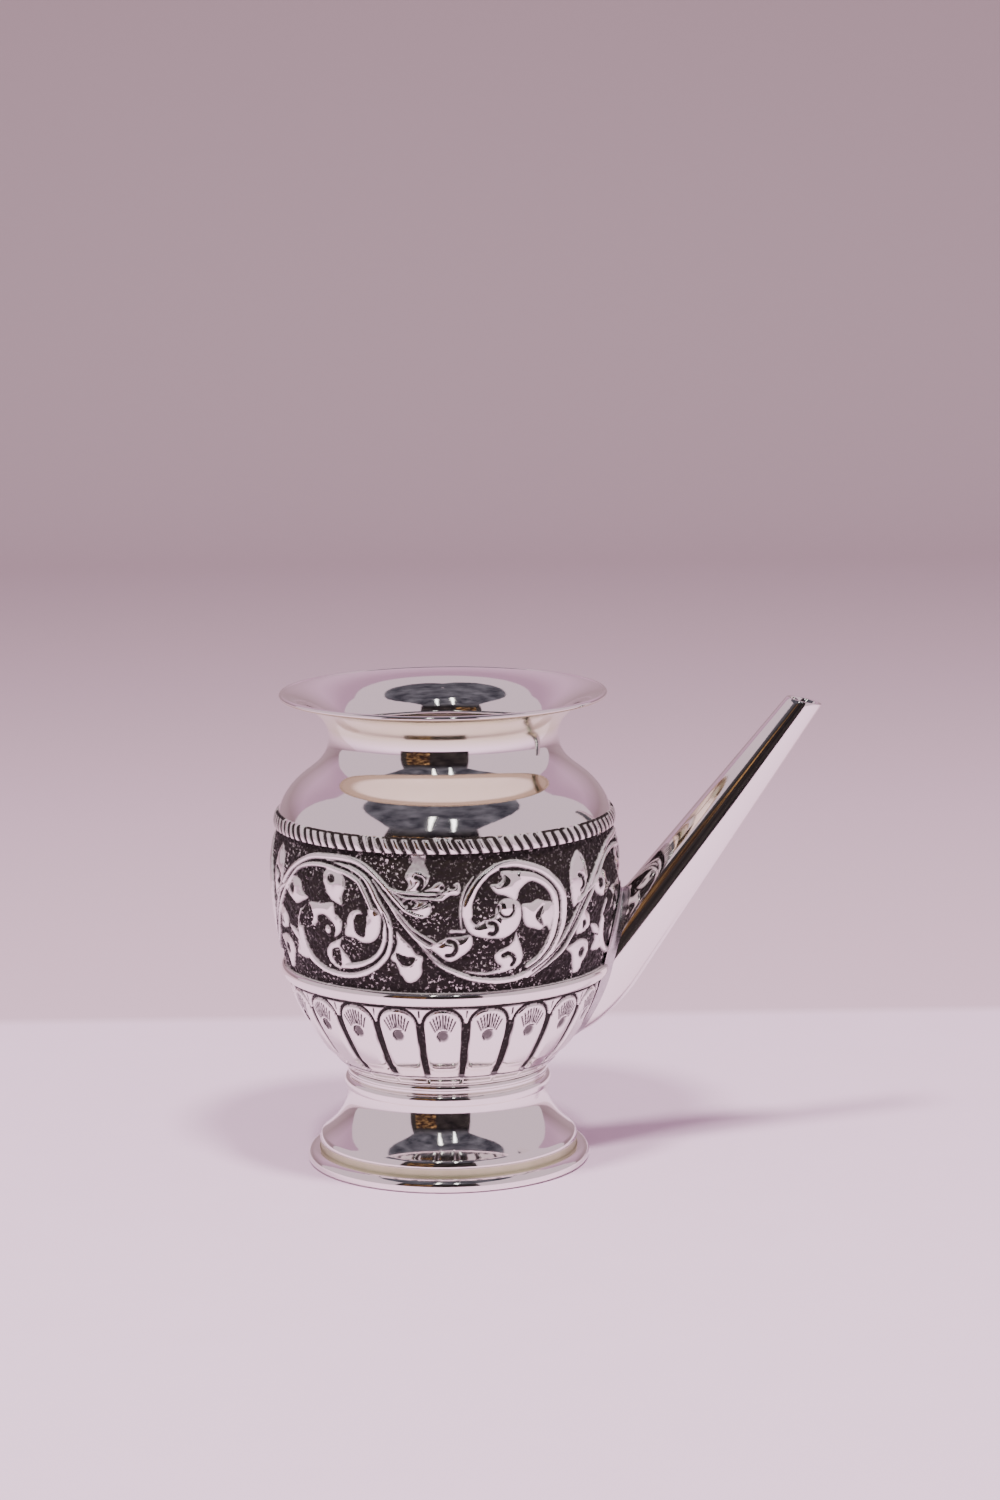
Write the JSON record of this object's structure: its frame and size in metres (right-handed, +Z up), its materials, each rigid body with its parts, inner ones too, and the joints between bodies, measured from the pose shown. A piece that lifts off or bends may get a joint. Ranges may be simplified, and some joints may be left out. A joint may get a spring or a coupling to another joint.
{
  "type": "spouted silver karwa pot",
  "caption": "Small footed silver pot with a flared open mouth, a chased scroll belly over a petalled bowl, and one long straight tapering spout.",
  "frame": {"origin": "on the pot's axis, in the plane that the foot ring stands on", "axes": "+Z up along the pot's axis, +X the way the spout points, +Y to the back when the spout points right"},
  "size_m": [0.1157, 0.0734, 0.1],
  "materials": {
    "polished_silver": "mirror-polished sterling silver with faint hairline scratches",
    "chased_silver": "polished high points over blackened, matted recesses",
    "silver_solder": "soft polished solder, slightly duller and greyer than the sheet"
  },
  "bodies": {
    "root": {"foot_ring": "polished_silver", "foot_shell": "polished_silver", "foot_collar": "polished_silver", "bowl": "chased_silver", "belly_band": "chased_silver", "neck_shell": "polished_silver", "lip_wire": "polished_silver", "belt_wire": "polished_silver", "border_wire": "chased_silver", "spout_tube": "polished_silver", "spout_solder": "silver_solder"}
  },
  "joints": []
}
